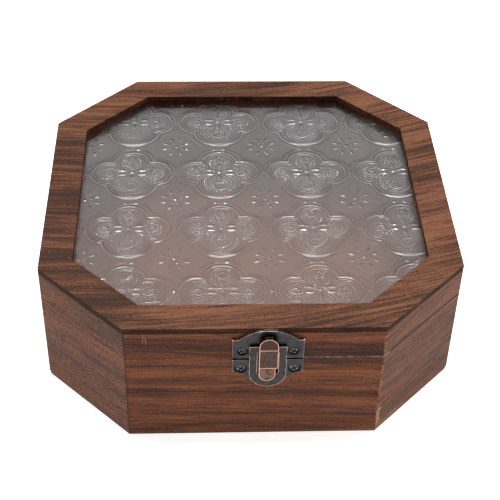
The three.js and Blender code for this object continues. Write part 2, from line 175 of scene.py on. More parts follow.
def grey(value):
    return (value, value, value)


# Walnut

WALNUT_DARK = (0.022, 0.0085, 0.005)
WALNUT_MID = (0.132, 0.045, 0.0195)
WALNUT_LIGHT = (0.285, 0.112, 0.055)
# A greyer pink mixed into some boards: partly their own tone, partly painted sheen
WALNUT_GREY_AND_SHEEN = (0.150, 0.078, 0.055)
# Dark brown for charred cut edges and a darkened board edge, also used as painted shade at the base and in
# the lid seam
DARK_EDGE_AND_SHADE = (0.030, 0.014, 0.009)
# Near black, painted shadow in the lid seam
SEAM_SHADOW = (0.007, 0.003, 0.002)

# How much lighter or darker the wood is at a depth in millimetres below the top of the box
FRONT_TONES = (
    (0, 0.10), (7, 0.08), (9, -0.11), (24, -0.09), (25, -0.17), (26.5, 0.14), (31, 0.10), (36, -0.05),
    (38, 0.08), (41, -0.17), (43, -0.16), (45, 0.10), (54, 0.06), (56, -0.08), (60, 0.10), (70, 0.07))
LEFT_CORNER_TONES = ((0, 0.03), (30, 0.02), (34, -0.10), (37, -0.10), (41, 0.03), (70, 0.05))
RIGHT_CORNER_TONES = (
    (0, 0.04), (9, 0.05), (11, -0.10), (13, 0.04), (30, 0.03), (32, -0.12), (34, 0.04),
    (40, 0.03), (41.5, -0.12), (43, 0.04), (51, 0.03), (52.5, -0.11), (54, 0.05), (70, 0.04))
TONE_REACH = 0.4

# Lighter and darker parts of the top board: centre x, centre y, reach and tone
TOP_PATCHES = (
    (-82, -80, 52, -0.29), (-95, 0, 62, -0.20), (82, -82, 44, 0.18), (0, 94, 58, -0.12), (95, 5, 52, -0.05),
    (80, 80, 34, 0.18))
BARE_WOOD = (0.42, 0.24, 0.13)
SPECK_SPACING = 34
SPECK_SIZE = 0.5

# Wear and painted seam shade on the walls, as heights in millimetres
FRONT_SEAM_SHADE_HEIGHTS = (51.9, 52.6)
FRONT_RUBBED_LINE = (51.2, 51.7)
CORNER_SEAM_SHADE_HEIGHTS = (51.75, 52.5)
CORNER_PATCH = (5, 15)
CORNER_LINE_UP = 2.9
CORNER_LINE_SLOPE = 0.03
CHIP_UP = 51.35
CHIP_SLOPE = 0.18
RIGHT_OF_LATCH = (18, 26)

# Scratches on the front: place along it, lean, lower end and upper end
SCRATCHES = ((-50.4, 0.10, 61.5, 66.0), (-48.9, -0.06, 60.5, 65.0), (-58.0, 0.3, 65.5, 66.6))
SCRATCH_WIDTH = 0.3

# How the grain bends on the top board: rise per millimetre to the right, and how fast that grows
GRAIN_RISE = 0.13
GRAIN_BEND = 0.0011

# Each wall and each lying board takes its grain from another part of the pattern
SEED_STEP = 97


def toned(s, depth, stops):
    """The tone that belongs to a depth, from a short list of depths and tones."""
    ramp = [(place / HEIGHT, grey(0.5 + tone / TONE_REACH)) for place, tone in stops]
    level = s.ramp(s.math("DIVIDE", depth, HEIGHT), ramp)
    return s.math("MULTIPLY", s.math("SUBTRACT", level, 0.5), TONE_REACH)


def walnut_colour(s, along, across, through, mottle_from, contrast, tone, wave=5.0, speckle=0.45):
    """Bands, streaks, fine lines and pores that run along the grain. All coordinates are in millimetres."""
    slow = s.noise(s.join(s.times(along, 0.010), s.times(across, 0.03), 0.0), detail=1)
    wander = s.times(s.math("SUBTRACT", slow, 0.5), wave)
    lines = s.join(along, s.math("ADD", across, wander), through)
    bands = s.noise(s.scaled(lines, 0.008, 0.10, 0.10), detail=1, roughness=0.5)
    streaks = s.noise(s.scaled(lines, 0.016, 0.40, 0.40), detail=2, roughness=0.6)
    fine = s.noise(s.scaled(lines, 0.05, 1.05, 1.05), detail=2, roughness=0.6)
    fibres = s.noise(s.scaled(lines, 0.55, 2.3, 2.3), detail=2, roughness=0.7)
    mottle = s.noise(s.scaled(mottle_from, 1.3, 1.3, 1.3), detail=2, roughness=0.8)
    value = 0.0
    for layer, weight in ((bands, 0.62), (streaks, 0.62), (fine, 0.85), (fibres, 0.7), (mottle, speckle)):
        value = s.math("ADD", value, s.times(s.math("SUBTRACT", layer, 0.5), weight))
    value = s.math("ADD", s.times(value, contrast), tone)
    stops = [(0.14, WALNUT_DARK), (0.5, WALNUT_MID), (0.86, WALNUT_LIGHT)]
    colour = s.ramp(s.math("ADD", value, 0.5), stops)
    pores = s.noise(s.scaled(lines, 0.15, 2.1, 2.1), detail=1)
    colour = s.mix(s.span(pores, 0.58, 0.70, 0.0, 0.55), colour, WALNUT_DARK)
    height = s.math("SUBTRACT", s.times(fine, 0.6), s.times(pores, 0.5))
    rough = s.span(streaks, 0.3, 0.7, 0.56, 0.70)
    return colour, rough, height


def finish_walnut(s, colour, rough, height, sheen=0.2):
    normal = s.bump(height, 0.0002, 0.6)
    return s.finish(Base_Color=colour, Roughness=rough, Normal=normal, IOR=1.45, Specular_IOR_Level=sheen)


def wall_walnut(name, heading, seed, tone=0.0, grey_and_sheen=0.0, contrast=1.0, stops=None, tilt=0.0, speckle=0.45,
                tint=(1, 1, 1), marks=None):
    """Walnut for a wall board: the grain runs level, along the heading measured from +X in plan."""
    s = Shade(name)
    point = s.point()
    turned = s.node("ShaderNodeMapping", {"Vector": point, "Rotation": (0, 0, -heading)}).outputs[0]
    along, through, up = s.split(turned)
    depth = s.math("ADD", s.math("SUBTRACT", HEIGHT, up), s.times(along, tilt))
    level = tone
    if stops:
        level = s.math("ADD", toned(s, depth, stops), tone)
    shifted = s.math("ADD", depth, SEED_STEP * seed)
    colour, rough, height = walnut_colour(
        s, along, shifted, through, point, contrast, level, speckle=speckle)
    # Greyer pink, partly the board's own tone and partly painted sheen
    if grey_and_sheen:
        colour = s.mix(grey_and_sheen, colour, WALNUT_GREY_AND_SHEEN)
    colour = s.mix(1.0, colour, tint, "MULTIPLY")
    # Painted shade along the base, where the wall meets the floor
    colour = s.mix(s.span(up, 0.5, 1.7, 0.85, 0.0), colour, DARK_EDGE_AND_SHADE)
    if marks:
        colour = marks(s, colour, along, up, point)
    return finish_walnut(s, colour, rough, height)


def between(s, value, low, high, soft=0.3):
    """1 from low to high, and 0 outside."""
    return s.times(s.span(value, low - soft, low), s.span(value, high, high + soft, 1, 0))


def scratch(s, along, up, place, lean, low, high, width):
    """A thin upright line that leans along the board."""
    line = s.off(along, s.math("ADD", s.times(up, lean), place - lean * low))
    return s.times(s.span(line, 0, width, 1, 0), between(s, up, low, high, 0.6))


def outer_face(s):
    """1 on upright faces and 0 on level ones."""
    level = s.math("ABSOLUTE", s.split(s.object_normal())[2])
    return s.span(level, 0.3, 0.7, 1, 0)


def front_marks(s, colour, along, up, point):
    """Wear on the front: a rubbed line right of the latch and painted shade in the lid seam there, a darker
    left edge, bare corners and scratches.
    """
    ragged = s.noise(s.scaled(point, 0.5, 0.5, 0.5), detail=3, roughness=0.7)
    right = s.times(s.span(along, *RIGHT_OF_LATCH), outer_face(s))
    # Painted shade in the seam between box and lid, right of the latch
    dark = s.times(between(s, up, *FRONT_SEAM_SHADE_HEIGHTS, 0.2), right)
    colour = s.mix(s.times(dark, 0.8), colour, DARK_EDGE_AND_SHADE)
    rubbed = s.times(between(s, up, *FRONT_RUBBED_LINE, 0.2), s.span(ragged, 0.42, 0.60, 0.1, 0.75))
    bare = s.times(rubbed, right)
    colour = s.mix(s.span(along, 0.1 - FRONT_HALF, 1.1 - FRONT_HALF, 0.6, 0.0), colour, DARK_EDGE_AND_SHADE)
    edge = s.math("SUBTRACT", FRONT_HALF, along)
    corner = s.times(s.span(edge, 0.2, 0.9, 1, 0), s.span(ragged, 0.46, 0.60, 0.0, 0.7))
    bare = s.math("MAXIMUM", bare, corner)
    for place, lean, low, high in SCRATCHES:
        mark = s.times(scratch(s, along, up, place, lean, low, high, SCRATCH_WIDTH), 0.6)
        bare = s.math("MAXIMUM", bare, mark)
    return s.mix(bare, colour, BARE_WOOD)


def right_corner_marks(s, colour, along, up, point):
    """Wear on the right corner: painted shadow in the lid seam, a chip beside it, bare wood at the front
    lower edge, and painted shade along the base.
    """
    ragged = s.noise(s.scaled(point, 0.5, 0.5, 0.5), detail=3, roughness=0.7)
    edge = s.math("ADD", along, CORNER_HALF)
    # Painted shadow in the seam between box and lid
    corner_seam_shade = s.times(between(s, up, *CORNER_SEAM_SHADE_HEIGHTS, 0.15), s.span(edge, 3, 12, 0.6, 1.0))
    colour = s.mix(s.times(corner_seam_shade, outer_face(s)), colour, SEAM_SHADOW)
    reach = s.span(ragged, 0.35, 0.65, 0.2, 3.6, smooth=False)
    patch = s.times(s.math("LESS_THAN", edge, reach), between(s, up, *CORNER_PATCH, 1.5))
    line_up = s.math("ADD", s.times(edge, CORNER_LINE_SLOPE), CORNER_LINE_UP)
    line = s.times(s.span(s.off(up, line_up), 0.2, 0.75, 1, 0), s.span(edge, 16, 26, 1, 0))
    line = s.times(line, s.span(ragged, 0.40, 0.58, 0.2, 0.9))
    chip_up = s.math("ADD", s.times(edge, CHIP_SLOPE), CHIP_UP)
    chip = s.times(s.span(s.off(up, chip_up), 0.3, 0.6, 1, 0), s.span(edge, 3.0, 4.6, 1.0, 0))
    rim = s.times(s.span(edge, 0.2, 0.8, 1, 0), s.span(ragged, 0.48, 0.60, 0.0, 0.7))
    bare = s.times(patch, 0.8)
    for mark in (line, chip, rim):
        bare = s.math("MAXIMUM", bare, mark)
    colour = s.mix(bare, colour, BARE_WOOD)
    # More painted shade along the base of the right corner
    return s.mix(s.span(up, 1.2, 2.2, 0.75, 0), colour, DARK_EDGE_AND_SHADE)


def flat_walnut(name, seed):
    """Walnut for a lying board, its grain along X."""
    s = Shade(name)
    point = s.point()
    x, y, z = s.split(point)
    shifted = s.math("ADD", y, SEED_STEP * seed)
    colour, rough, height = walnut_colour(s, x, shifted, z, point, contrast=1.0, tone=0.0)
    return finish_walnut(s, colour, rough, height)


def top_walnut(name, seed, tone):
    """Walnut for the top board: the grain bends upwards to the right, and the cut edges are burnt."""
    s = Shade(name)
    point = s.point()
    x, y, z = s.split(point)
    plan = s.join(x, y, 0)
    bend = s.times(x, s.math("ADD", s.times(x, GRAIN_BEND), GRAIN_RISE))
    across = s.math("ADD", s.math("SUBTRACT", y, bend), SEED_STEP * seed)
    level = tone
    for cx, cy, reach, lift in TOP_PATCHES:
        away = s.distance(plan, (cx, cy, 0))
        level = s.math("ADD", level, s.span(away, 0.35 * reach, reach, lift, 0))
    contrast = s.span(x, -80, 80, 1.75, 2.3)
    colour, rough, height = walnut_colour(s, x, across, z, point, contrast, level, wave=8.0, speckle=0.8)
    # Greyer pink on the top, partly its own tone and partly painted sheen
    colour = s.mix(0.22, colour, WALNUT_GREY_AND_SHEEN)
    spacing = {"Vector": plan, "Scale": 1 / SPECK_SPACING}
    cells = s.node("ShaderNodeTexVoronoi", spacing, voronoi_dimensions="2D")
    share = SPECK_SIZE / SPECK_SPACING
    speck = s.span(cells.outputs["Distance"], 0.4 * share, share, 0.75, 0)
    colour = s.mix(speck, colour, BARE_WOOD)
    facing = s.math("ABSOLUTE", s.split(s.object_normal())[2])
    cut = s.span(facing, 0.45, 0.95, 1.0, 0.0)
    outer = s.span(s.length(plan), 99.3, 99.9)
    patch = s.noise(s.scaled(point, 0.09, 0.09, 0.9), detail=2)
    char = s.times(s.span(patch, 0.38, 0.62, 0.97, 0.68), s.span(outer, 0, 1, 0.55, 1.0))
    colour = s.mix(s.times(cut, char), colour, DARK_EDGE_AND_SHADE)
    return finish_walnut(s, colour, rough, height, sheen=s.span(cut, 0, 1, 0.2, 0.04))


def dressed(name, material):
    node = nodes[name]
    node.data.materials.clear()
    node.data.materials.append(material)
    return node


SOFT_EDGE_ANGLE = 35


def soften(node, width):
    """Round the edges of a piece a little."""
    bevel = node.modifiers.new("soft_edges", "BEVEL")
    bevel.width = width * MM
    bevel.segments = 2
    bevel.limit_method = "ANGLE"
    bevel.angle_limit = math.radians(SOFT_EDGE_ANGLE)
    bevel.harden_normals = True
    for polygon in node.data.polygons:
        polygon.use_smooth = True
    return node


# The lip that fills the seam
LIP_INSET = 0.08
LIP_WIDTH = 2.0
LIP_HEIGHTS = (51.9, 52.26)

SIDES = {
    "wall_front": dict(
        heading=0, stops=FRONT_TONES, tilt=-0.03, contrast=1.2, speckle=0.8,
        tint=(0.89, 0.73, 0.57), marks=front_marks),
    "wall_right": dict(heading=90),
    "wall_back": dict(heading=180),
    "wall_left": dict(heading=270),
    "corner_front_right": dict(
        heading=45, stops=RIGHT_CORNER_TONES, tilt=0.03, tone=0.02, grey_and_sheen=0.28, contrast=2.1, speckle=0.8,
        tint=(0.94, 0.82, 0.745), marks=right_corner_marks),
    "corner_back_right": dict(heading=135, grey_and_sheen=0.2),
    "corner_back_left": dict(heading=225, grey_and_sheen=0.2),
    "corner_front_left": dict(
        heading=315, stops=LEFT_CORNER_TONES, tilt=0.107, tone=-0.01, grey_and_sheen=0.26, contrast=2.7, speckle=1.6,
        tint=(0.88, 0.76, 0.675)),
}


def build_lip(side, heading, material):
    """A low lip along one wall's upper edge, which fills the seam there."""
    length = SIDE - 2 * CORNER_CUT
    reach = SIDE / 2
    if side.startswith("corner"):
        length = CORNER_CUT * math.sqrt(2)
        reach = (SIDE - CORNER_CUT) / math.sqrt(2)
    mitre = math.tan(math.radians(22.5))
    corners = []
    for away in (reach - LIP_INSET, reach - LIP_INSET - LIP_WIDTH):
        half = length / 2 - (reach - away) * mitre
        corners.append([(-half, -away), (half, -away)])
    (a, b), (d, c) = corners
    plan = [(x * math.cos(heading) - y * math.sin(heading), x * math.sin(heading) + y * math.cos(heading))
            for x, y in (a, b, c, d)]
    points = [(x * MM, y * MM, z * MM) for z in LIP_HEIGHTS for x, y in plan]
    faces = [(3, 2, 1, 0), (4, 5, 6, 7), *((k, (k + 1) % 4, (k + 1) % 4 + 4, k + 4) for k in range(4))]
    mesh = bpy.data.meshes.new(f"lip_{side}")
    mesh.from_pydata(points, [], faces)
    mesh.materials.append(material)
    lip = bpy.data.objects.new(mesh.name, mesh)
    bpy.context.scene.collection.objects.link(lip)
    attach(lip, "box")
    return lip


def dress_wood():
    for side, look in SIDES.items():
        look = dict(look)
        heading = math.radians(look.pop("heading"))
        for level in ("box", "lid"):
            seed = 3 + 2 * list(SIDES).index(side)
            material = wall_walnut(f"walnut_{level}_{side}", heading, seed=seed, **look)
            soften(dressed(f"{level}_{side}", material), 0.2)
            if level == "box" and side != "corner_front_right":
                build_lip(side, heading, material)
    soften(dressed("box_bottom_board", flat_walnut("walnut_bottom", seed=41)), 0.25)
    soften(dressed("lid_top_board", top_walnut("walnut_top", seed=23, tone=0.02)), 0.35)


# Patterned glass: the relief is a height over the pane, the same in every cell of a square lattice

PATTERN_PITCH = 45.3
PATTERN_X, PATTERN_Y = -14.0, 19.7
RELIEF_STEP = 0.54
HALF_STEPS = 161
CUT_STEPS = 260
RELIEF_HALF = HALF_STEPS * RELIEF_STEP
RELIEF_CUT = CUT_STEPS * RELIEF_STEP
RELIEF_FADE = 1.2
SLOPE_STEP = 0.02
STIPPLE_PITCH = 1.5
STIPPLE_INSET = 3.5
STIPPLE_REACH = 0.6
STIPPLE_RISE = 2.1
RELIEF_CAP = 0.72

# The four-lobed figure, with its middle at (0, 0). Its outline is round these: centre x, centre y, radius
LOBES = ((0, 8.0, 9.4), (10.9, -0.8, 9.7), (-10.9, -0.8, 9.7), (0, -9.2, 12.4))
# Ridges along the outline: distance outside it, half width, height
OUTLINE_RIDGES = ((0, 0.95, 0.30), (2.1, 0.75, 0.15))
# Arcs: centre, radius, middle and reach in degrees, half width, height
ARCS = (
    ((0, -10.4), 10.9, -90, 44, 1.0, 0.42),
    ((-10.9, -0.8), 10.6, 117, 26, 0.95, 0.36),
    ((10.9, -0.8), 10.6, 63, 26, 0.95, 0.36))
# Petals and bars: middle x, middle y, angle in degrees, half length, half width, height
PETALS = (
    (0, 4.6, 90, 2.8, 1.5, 0.36), (0, -4.6, 90, 2.8, 1.5, 0.36),
    *((side * 5.1, rise, 0, 2.3, 1.15, 0.44) for side in (-1, 1) for rise in (1.7, -1.7)),
    *((side * 11.2, -2.4, 0, 3.0, 0.7, 0.24) for side in (-1, 1)),
    *((side * bar, -3.7, 90, 1.5, 0.6, 0.28) for side in (-1, 1) for bar in (9.6, 11.0, 12.4)))
# Rings with a bead in the middle: centre x, centre y, radius
RINGS = ((0, 10.4, 2.0), (0, -11.4, 3.0), (11.6, -0.9, 1.9), (-11.6, -0.9, 1.9))
RING_RIDGE = (0.8, 0.30)
RING_BEAD = (0.9, 0.26)
# Beads: centre x, centre y, radius, height
BEADS = (
    (0, 0, 1.4, 0.6),
    (2.6, 20.0, 1.3, 0.45), (-2.6, 20.0, 1.3, 0.45),
    (2.6, 20.0 - PATTERN_PITCH, 1.3, 0.45), (-2.6, 20.0 - PATTERN_PITCH, 1.3, 0.45))
SIDE_BEAD = (1.4, 0.42)
SIDE_BEAD_DOWN = 0.5
# The floret between the figures
FLORET_PETALS = 8
FLORET_BOSS = (1.3, 0.48)
FLORET_BEAD = (0.85, 0.30)
FLORET_BEADS_OUT = 3.4
FLORET_PETAL = (4.6, 7.9, 1.05, 0.42)

# Finer lines, made by the material: distance outside the outline, half width, height
FINE_LINES = ((-1.75, 0.5, 1.5), (-2.85, 0.4, 0.9), (3.1, 0.45, 1.0))
FINE_HEIGHT = 0.00012
RIPPLE = 0.7

GLASS_TINT = (0.93, 0.95, 0.96)
GLASS_SHADOW_TINT = (0.86, 0.88, 0.90, 1)


def plan_points(inset):
    half = SIDE / 2 - inset
    flat = half - (CORNER_CUT - inset * (2 - math.sqrt(2)))
    return [(-flat, -half), (flat, -half), (half, -flat), (half, flat),
            (flat, half), (-flat, half), (-half, flat), (-half, -flat)]


def hump(distance, width, height):
    """A smooth ridge: full height at distance 0, nothing beyond width."""
    share = np.clip(np.abs(distance) / width, 0, 1)
    return height * (0.5 + 0.5 * np.cos(np.pi * share))


def leaf(x, y, angle, near, far, width, height):
    """A pointed petal from near to far along an angle."""
    c, s = math.cos(angle), math.sin(angle)
    along, across = x * c + y * s, y * c - x * s
    middle, half = (near + far) / 2, (far - near) / 2
    taper = np.sqrt(np.clip(1 - ((along - middle) / half) ** 2, 0, 1))
    reach = np.maximum(width * taper, 1e-6)
    inside = np.abs(across) < reach
    return np.where(inside, height * taper * (0.5 + 0.5 * np.cos(np.pi * across / reach)), 0)


def arc(x, y, centre, radius, middle, reach, width, height):
    """A ridge on a circle that dies out at an angle, the reach, to either side of its middle."""
    dx, dy = x - centre[0], y - centre[1]
    turn = np.degrees(np.arctan2(dy, dx)) - middle
    turn = (turn + 180) % 360 - 180
    fade = np.clip((reach - np.abs(turn)) / (0.35 * reach), 0, 1)
    return hump(np.hypot(dx, dy) - radius, width, height) * fade


def folded(value, start):
    return np.mod(value - start + PATTERN_PITCH / 2, PATTERN_PITCH) - PATTERN_PITCH / 2


def outline_distance(x, y):
    return np.min([np.hypot(x - cx, y - cy) - r for cx, cy, r in LOBES], axis=0)


def relief(x, y):
    """Height of the pattern in millimetres at a place on the pane."""
    u, v = folded(x, PATTERN_X), folded(y, PATTERN_Y)
    edge = outline_distance(u, v)
    height = sum(hump(edge - place, width, rise) for place, width, rise in OUTLINE_RIDGES)
    for place, radius, middle, reach, width, rise in ARCS:
        height += arc(u, v, place, radius, middle, reach, width, rise)
    for cx, cy, angle, half, width, rise in PETALS:
        height += leaf(u - cx, v - cy, math.radians(angle), -half, half, width, rise)
    for cx, cy, radius in RINGS:
        away = np.hypot(u - cx, v - cy)
        height += hump(away - radius, *RING_RIDGE) + hump(away, *RING_BEAD)
    for cx, cy, radius, rise in BEADS:
        height += hump(np.hypot(u - cx, v - cy), radius, rise)
    height += hump(np.hypot(folded(u, PATTERN_PITCH / 2), v + SIDE_BEAD_DOWN), *SIDE_BEAD)
    fu, fv = folded(x, PATTERN_X + PATTERN_PITCH / 2), folded(y, PATTERN_Y + PATTERN_PITCH / 2)
    height += hump(np.hypot(fu, fv), *FLORET_BOSS)
    for step in range(FLORET_PETALS):
        angle = math.tau * (step + 0.5) / FLORET_PETALS
        height += leaf(fu, fv, angle, *FLORET_PETAL)
        bead_u, bead_v = FLORET_BEADS_OUT * math.cos(angle), FLORET_BEADS_OUT * math.sin(angle)
        height += hump(np.hypot(fu - bead_u, fv - bead_v), *FLORET_BEAD)
    height += 0.03 * np.sin(0.21 * x + 1.3 * np.sin(0.09 * y)) * np.sin(0.17 * y + 0.8)
    return np.minimum(height, RELIEF_CAP)


def pane_height(x, y):
    """Height of the pane's upper face, with the pattern fading out under the frame."""
    inset = np.min([RELIEF_HALF - np.abs(x), RELIEF_HALF - np.abs(y),
                    (RELIEF_CUT - np.abs(x) - np.abs(y)) / math.sqrt(2)], axis=0)
    return GLASS_TOP + relief(x, y) * np.clip(inset / RELIEF_FADE, 0, 1)


def relief_rim(index):
    """Vertices round the edge of the relief, one list for each of its eight sides, anticlockwise."""
    flat = CUT_STEPS - HALF_STEPS
    ring = [(-flat, -HALF_STEPS), (flat, -HALF_STEPS), (HALF_STEPS, -flat), (HALF_STEPS, flat),
            (flat, HALF_STEPS), (-flat, HALF_STEPS), (-HALF_STEPS, flat), (-HALF_STEPS, -flat)]
    sides = []
    for (i, j), (end_i, end_j) in zip(ring, ring[1:] + ring[:1]):
        count = max(abs(end_i - i), abs(end_j - j))
        step_i, step_j = (end_i - i) // count, (end_j - j) // count
        sides.append([
            index[j + k * step_j + HALF_STEPS, i + k * step_i + HALF_STEPS] for k in range(count + 1)])
    return sides


def grid_cells(index):
    """The four vertices of each cell of a grid, anticlockwise."""
    return np.stack([index[:-1, :-1], index[:-1, 1:], index[1:, 1:], index[1:, :-1]], -1).reshape(-1, 4)


def build_glass():
    """One closed pane: a fine grid for the patterned face, and a flat margin, edges and underside."""
    steps = np.arange(-HALF_STEPS, HALF_STEPS + 1)
    i, j = np.meshgrid(steps, steps)
    keep = np.abs(i) + np.abs(j) <= CUT_STEPS
    index = np.full(i.shape, -1)
    index[keep] = np.arange(keep.sum())
    x, y = i[keep] * RELIEF_STEP, j[keep] * RELIEF_STEP
    points = np.stack([x, y, pane_height(x, y)], -1)
    cells = grid_cells(index)
    faces = cells[(cells >= 0).all(1)].tolist()
    faces += [[v for v in cell if v >= 0] for cell in cells[(cells >= 0).sum(1) == 3].tolist()]
    relief_loops = sum(len(face) for face in faces)
    outer = plan_points(GLASS_EDGE)
    first = len(points)
    points = np.vstack([points, [(*p, GLASS_TOP) for p in outer], [(*p, GLASS_BOTTOM) for p in outer]])
    for k, side in enumerate(relief_rim(index)):
        top, next_top = first + k, first + (k + 1) % 8
        faces.append([top, next_top, *reversed(side)])
        faces.append([top + 8, next_top + 8, next_top, top])
    faces.append([first + 8 + k for k in reversed(range(8))])
    mesh = bpy.data.meshes.new("glass_pane_patterned")
    mesh.from_pydata((points * MM).tolist(), [], faces)
    for face in mesh.polygons:
        face.use_smooth = True
    corners = np.empty(len(mesh.loops), dtype=int)
    mesh.loops.foreach_get("vertex_index", corners)
    step = SLOPE_STEP
    slope_x = (pane_height(x + step, y) - pane_height(x - step, y)) / (2 * step)
    slope_y = (pane_height(x, y + step) - pane_height(x, y - step)) / (2 * step)
    upright = np.stack([-slope_x, -slope_y, np.ones_like(x)], -1)
    upright /= np.linalg.norm(upright, axis=1, keepdims=True)
    normals = np.zeros((len(mesh.loops), 3))
    normals[:relief_loops] = upright[corners[:relief_loops]]
    flat_faces = 2 * len(outer) + 1
    for face in mesh.polygons[len(faces) - flat_faces:]:
        for loop in face.loop_indices:
            normals[loop] = face.normal
    mesh.normals_split_custom_set(normals.tolist())
    pane = bpy.data.objects.new("glass_pane_patterned", mesh)
    bpy.context.scene.collection.objects.link(pane)
    mesh.materials.append(glass_material())
    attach(pane, "lid")
    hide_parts("glass_pane")
    return pane


def glass_material():
    """Clear glass. The finest lines and the stippled field of the pattern are added here as a bump."""
    s = Shade("patterned_glass")
    point = s.point()
    x, y, z = s.split(point)
    half = PATTERN_PITCH / 2
    u = s.math("WRAP", s.math("SUBTRACT", x, PATTERN_X), half, -half)
    v = s.math("WRAP", s.math("SUBTRACT", y, PATTERN_Y), half, -half)
    cell = s.join(u, v, 0)
    edge, run = 99.0, 0.0
    for cx, cy, radius in LOBES:
        away = s.math("SUBTRACT", s.distance(cell, (cx, cy, 0)), radius)
        angle = s.math("ARCTAN2", s.math("SUBTRACT", v, cy), s.math("SUBTRACT", u, cx))
        nearer = s.math("LESS_THAN", away, edge)
        turn = s.math("SUBTRACT", s.times(angle, radius - STIPPLE_INSET), run)
        run = s.math("ADD", run, s.times(nearer, turn))
        edge = s.math("MINIMUM", edge, away)
    height = 0.0
    for place, width, rise in FINE_LINES:
        height = s.math("ADD", height, s.span(s.off(edge, place), 0, width, rise, 0))
    flower = s.length(s.scaled(cell, 0.115, 0.29, 0))
    field = s.times(s.span(edge, -3.7, -3.1, 1, 0), s.span(flower, 0.9, 1.1))
    half_pitch = STIPPLE_PITCH / 2
    row = s.math("WRAP", edge, half_pitch, -half_pitch)
    column = s.math("WRAP", run, half_pitch, -half_pitch)
    dot = s.length(s.join(row, column, 0))
    dots = s.times(s.span(dot, 0, STIPPLE_REACH, STIPPLE_RISE, 0, smooth=False), field)
    ripple = s.noise(s.scaled(point, 0.24, 0.24, 0.24), detail=2)
    height = s.math("ADD", s.math("ADD", height, dots), s.times(ripple, RIPPLE))
    above = s.span(z, GLASS_TOP - 0.5, GLASS_TOP - 0.2)
    normal = s.bump(s.times(height, above), FINE_HEIGHT)
    s.finish(
        Base_Color=GLASS_TINT, Roughness=0.28, IOR=1.5, Transmission_Weight=1.0, Normal=normal,
        Specular_IOR_Level=0.0, Specular_Tint=(0.0, 0.0, 0.0),
        Coat_Weight=1.0, Coat_Roughness=0.03, Coat_IOR=1.5, Coat_Normal=normal)
    clear = s.node("ShaderNodeBsdfTransparent", {0: GLASS_SHADOW_TINT})
    shadow = s.node("ShaderNodeLightPath").outputs["Is Shadow Ray"]
    both = s.node("ShaderNodeMixShader", {0: shadow, 1: s.bsdf.outputs[0], 2: clear.outputs[0]})
    s.tree.links.new(both.outputs[0], s.output.inputs["Surface"])
    return s.material


# Metal

THUMB_CREASE = 60.3
THUMB_TIP = 66.5
THUMB_FOOT = 48.9
# Near black, used as painted shade and painted reflection on the latch
PAINTED_SHADE = (0.010, 0.010, 0.011)
BRONZE = (0.052, 0.047, 0.050)
PLATE_WORN = (0.90, 0.58, 0.49)
HASP_WORN = (0.95, 0.64, 0.54)
COPPER = (0.078, 0.048, 0.041)
# Darker copper for the thumb piece's upper facet: a painted dark reflection
COPPER_CROWN_DARK_REFLECTION = (0.050, 0.026, 0.021)
COPPER_WORN = (0.95, 0.50, 0.36)
STEEL = (0.030, 0.031, 0.032)
STEEL_WORN = (0.22, 0.22, 0.21)
HEAD_STEEL = (0.12, 0.13, 0.125)
HEAD_WORN = (0.40, 0.42, 0.40)


# Latch screws: body, distance to the right of the latch's middle, height, head radius, turn in degrees
LATCH_SCREWS = {
    "upper_left": ("lid", -11.5, 57, 2.0, 18),
    "upper_right": ("lid", 11.5, 57, 2.0, -24),
    "lower_left": ("box", -12.2, 46, 2.2, -30),
    "lower_right": ("box", 12.2, 46, 2.2, 22),
}
PLATE_FACE = -101.5
SCREW_SEAT = -100.55
SHANK_SIDES = 12
SHANK = ((0.8, 0.0), (0.8, 5.3), (0.1, 6.8))
HEAD_GRID = 33
HEAD_DOME = 0.85
HEAD_RIM = 0.3
SLOT_HALF = 0.45
SLOT_REACH = 1.6
SLOT_DEPTH = 0.72


